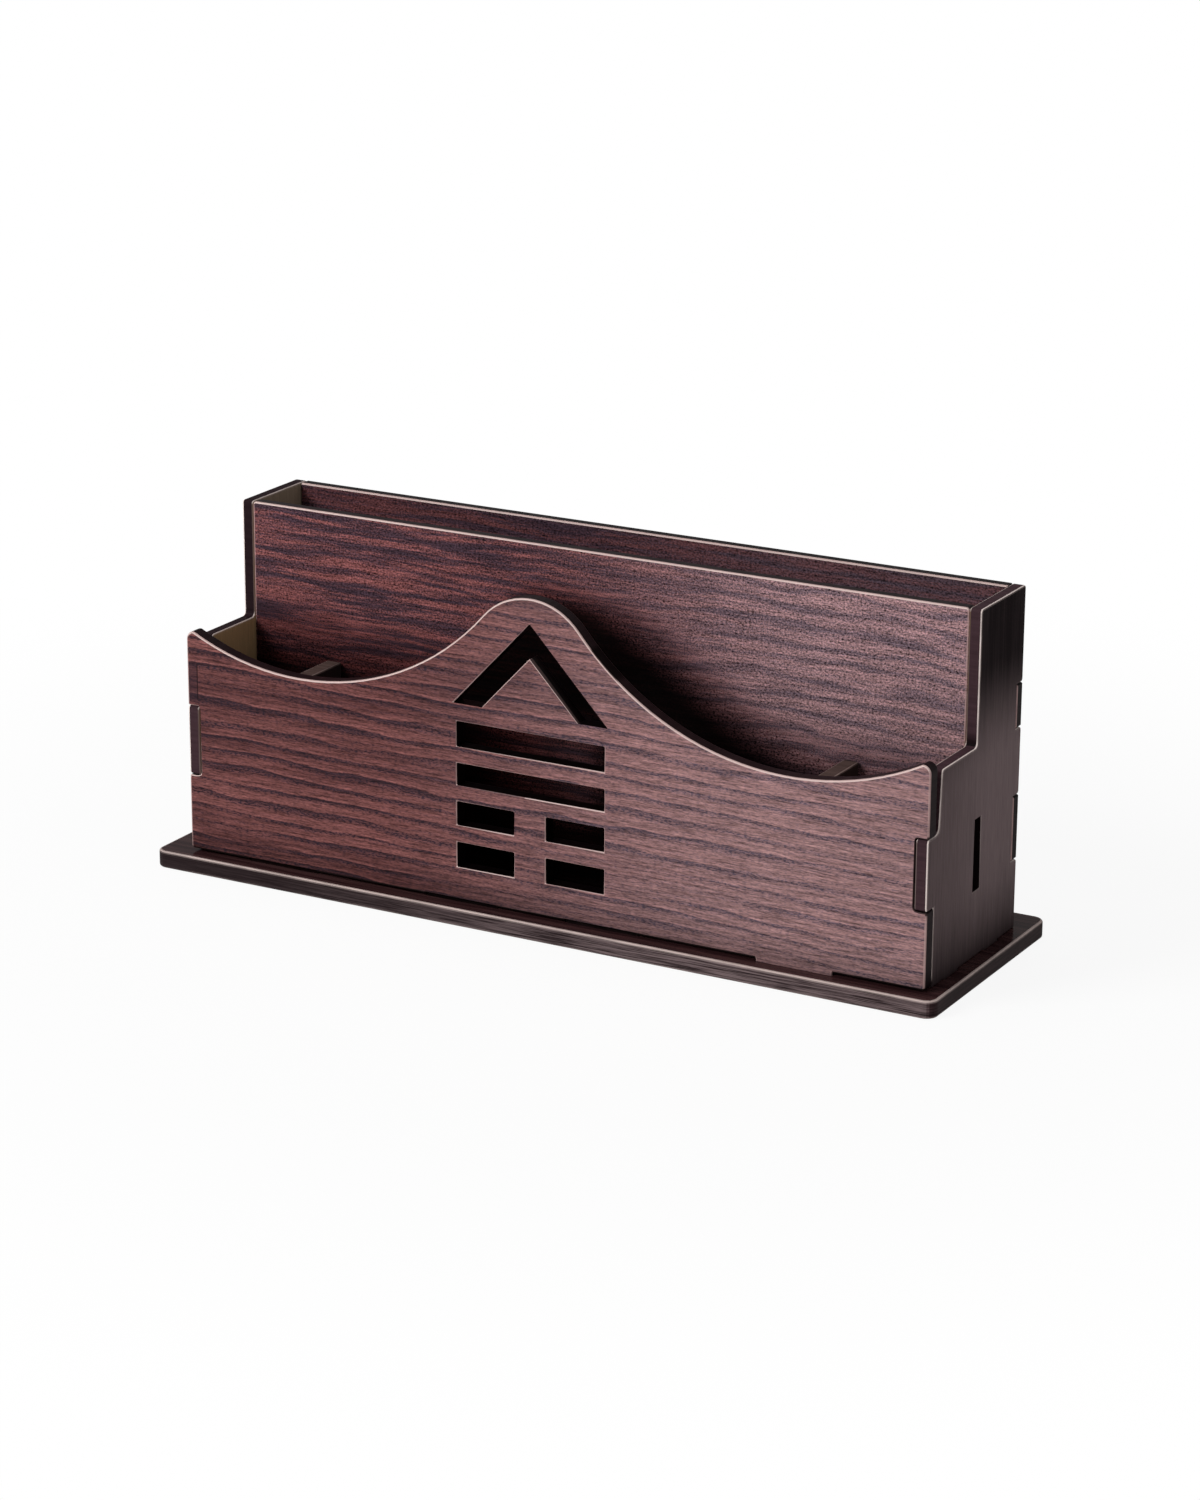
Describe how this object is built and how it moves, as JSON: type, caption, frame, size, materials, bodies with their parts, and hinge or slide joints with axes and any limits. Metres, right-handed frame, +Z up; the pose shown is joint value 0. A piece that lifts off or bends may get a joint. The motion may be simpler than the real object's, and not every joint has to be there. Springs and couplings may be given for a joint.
{
  "type": "pen stand with card holder",
  "caption": "Desk pen stand slotted together from dark wood-look boards, with a waved, pierced front, divided pen pocket and a taller card pocket behind.",
  "frame": {"origin": "centre of the base plate's underside", "axes": "+X to the right end seen from the front, +Y to the rear, +Z up"},
  "size_m": [0.2656, 0.0808, 0.1105],
  "materials": {
    "base_gloss": "glossy dark brown laminate",
    "rosewood_face": "satin rosewood laminate",
    "rosewood_middle": "satin rosewood laminate",
    "rosewood_back": "satin rosewood laminate",
    "dark_side_left": "satin dark laminate, khaki inside",
    "dark_side_right": "satin dark laminate",
    "divider_left": "satin dark laminate",
    "divider_right": "satin dark laminate"
  },
  "bodies": {
    "root": {"base_plate": "base_gloss", "front_panel": "rosewood_face", "middle_panel": "rosewood_middle", "back_panel": "rosewood_back", "left_side_panel": "dark_side_left", "right_side_panel": "dark_side_right", "left_divider": "divider_left", "right_divider": "divider_right"}
  },
  "joints": []
}
